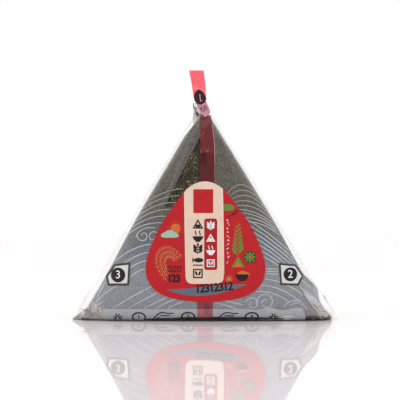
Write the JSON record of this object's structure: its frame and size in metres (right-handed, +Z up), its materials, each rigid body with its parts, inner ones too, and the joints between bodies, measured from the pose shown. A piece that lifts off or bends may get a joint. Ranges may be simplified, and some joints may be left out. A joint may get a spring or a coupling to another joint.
{
  "type": "film-wrapped onigiri rice ball",
  "caption": "Triangular rice ball in nori, sealed in clear printed film, with a red sticker and a tear tape whose tab stands up at the apex.",
  "frame": {"origin": "middle of the flat base, on the surface that the pack stands on", "axes": "+Z up to the apex, the printed front looks along -Y, +X to the right of that front"},
  "size_m": [0.1088, 0.0338, 0.1023],
  "materials": {
    "film": "clear printed film over dark nori",
    "sticker": "satin coated paper",
    "tape": "see-through red film"
  },
  "bodies": {
    "root": {"film_pack": "film", "label": "sticker", "tear_tape_front": "tape", "tear_tape_back": "tape", "pull_tab": "tape"}
  },
  "joints": []
}
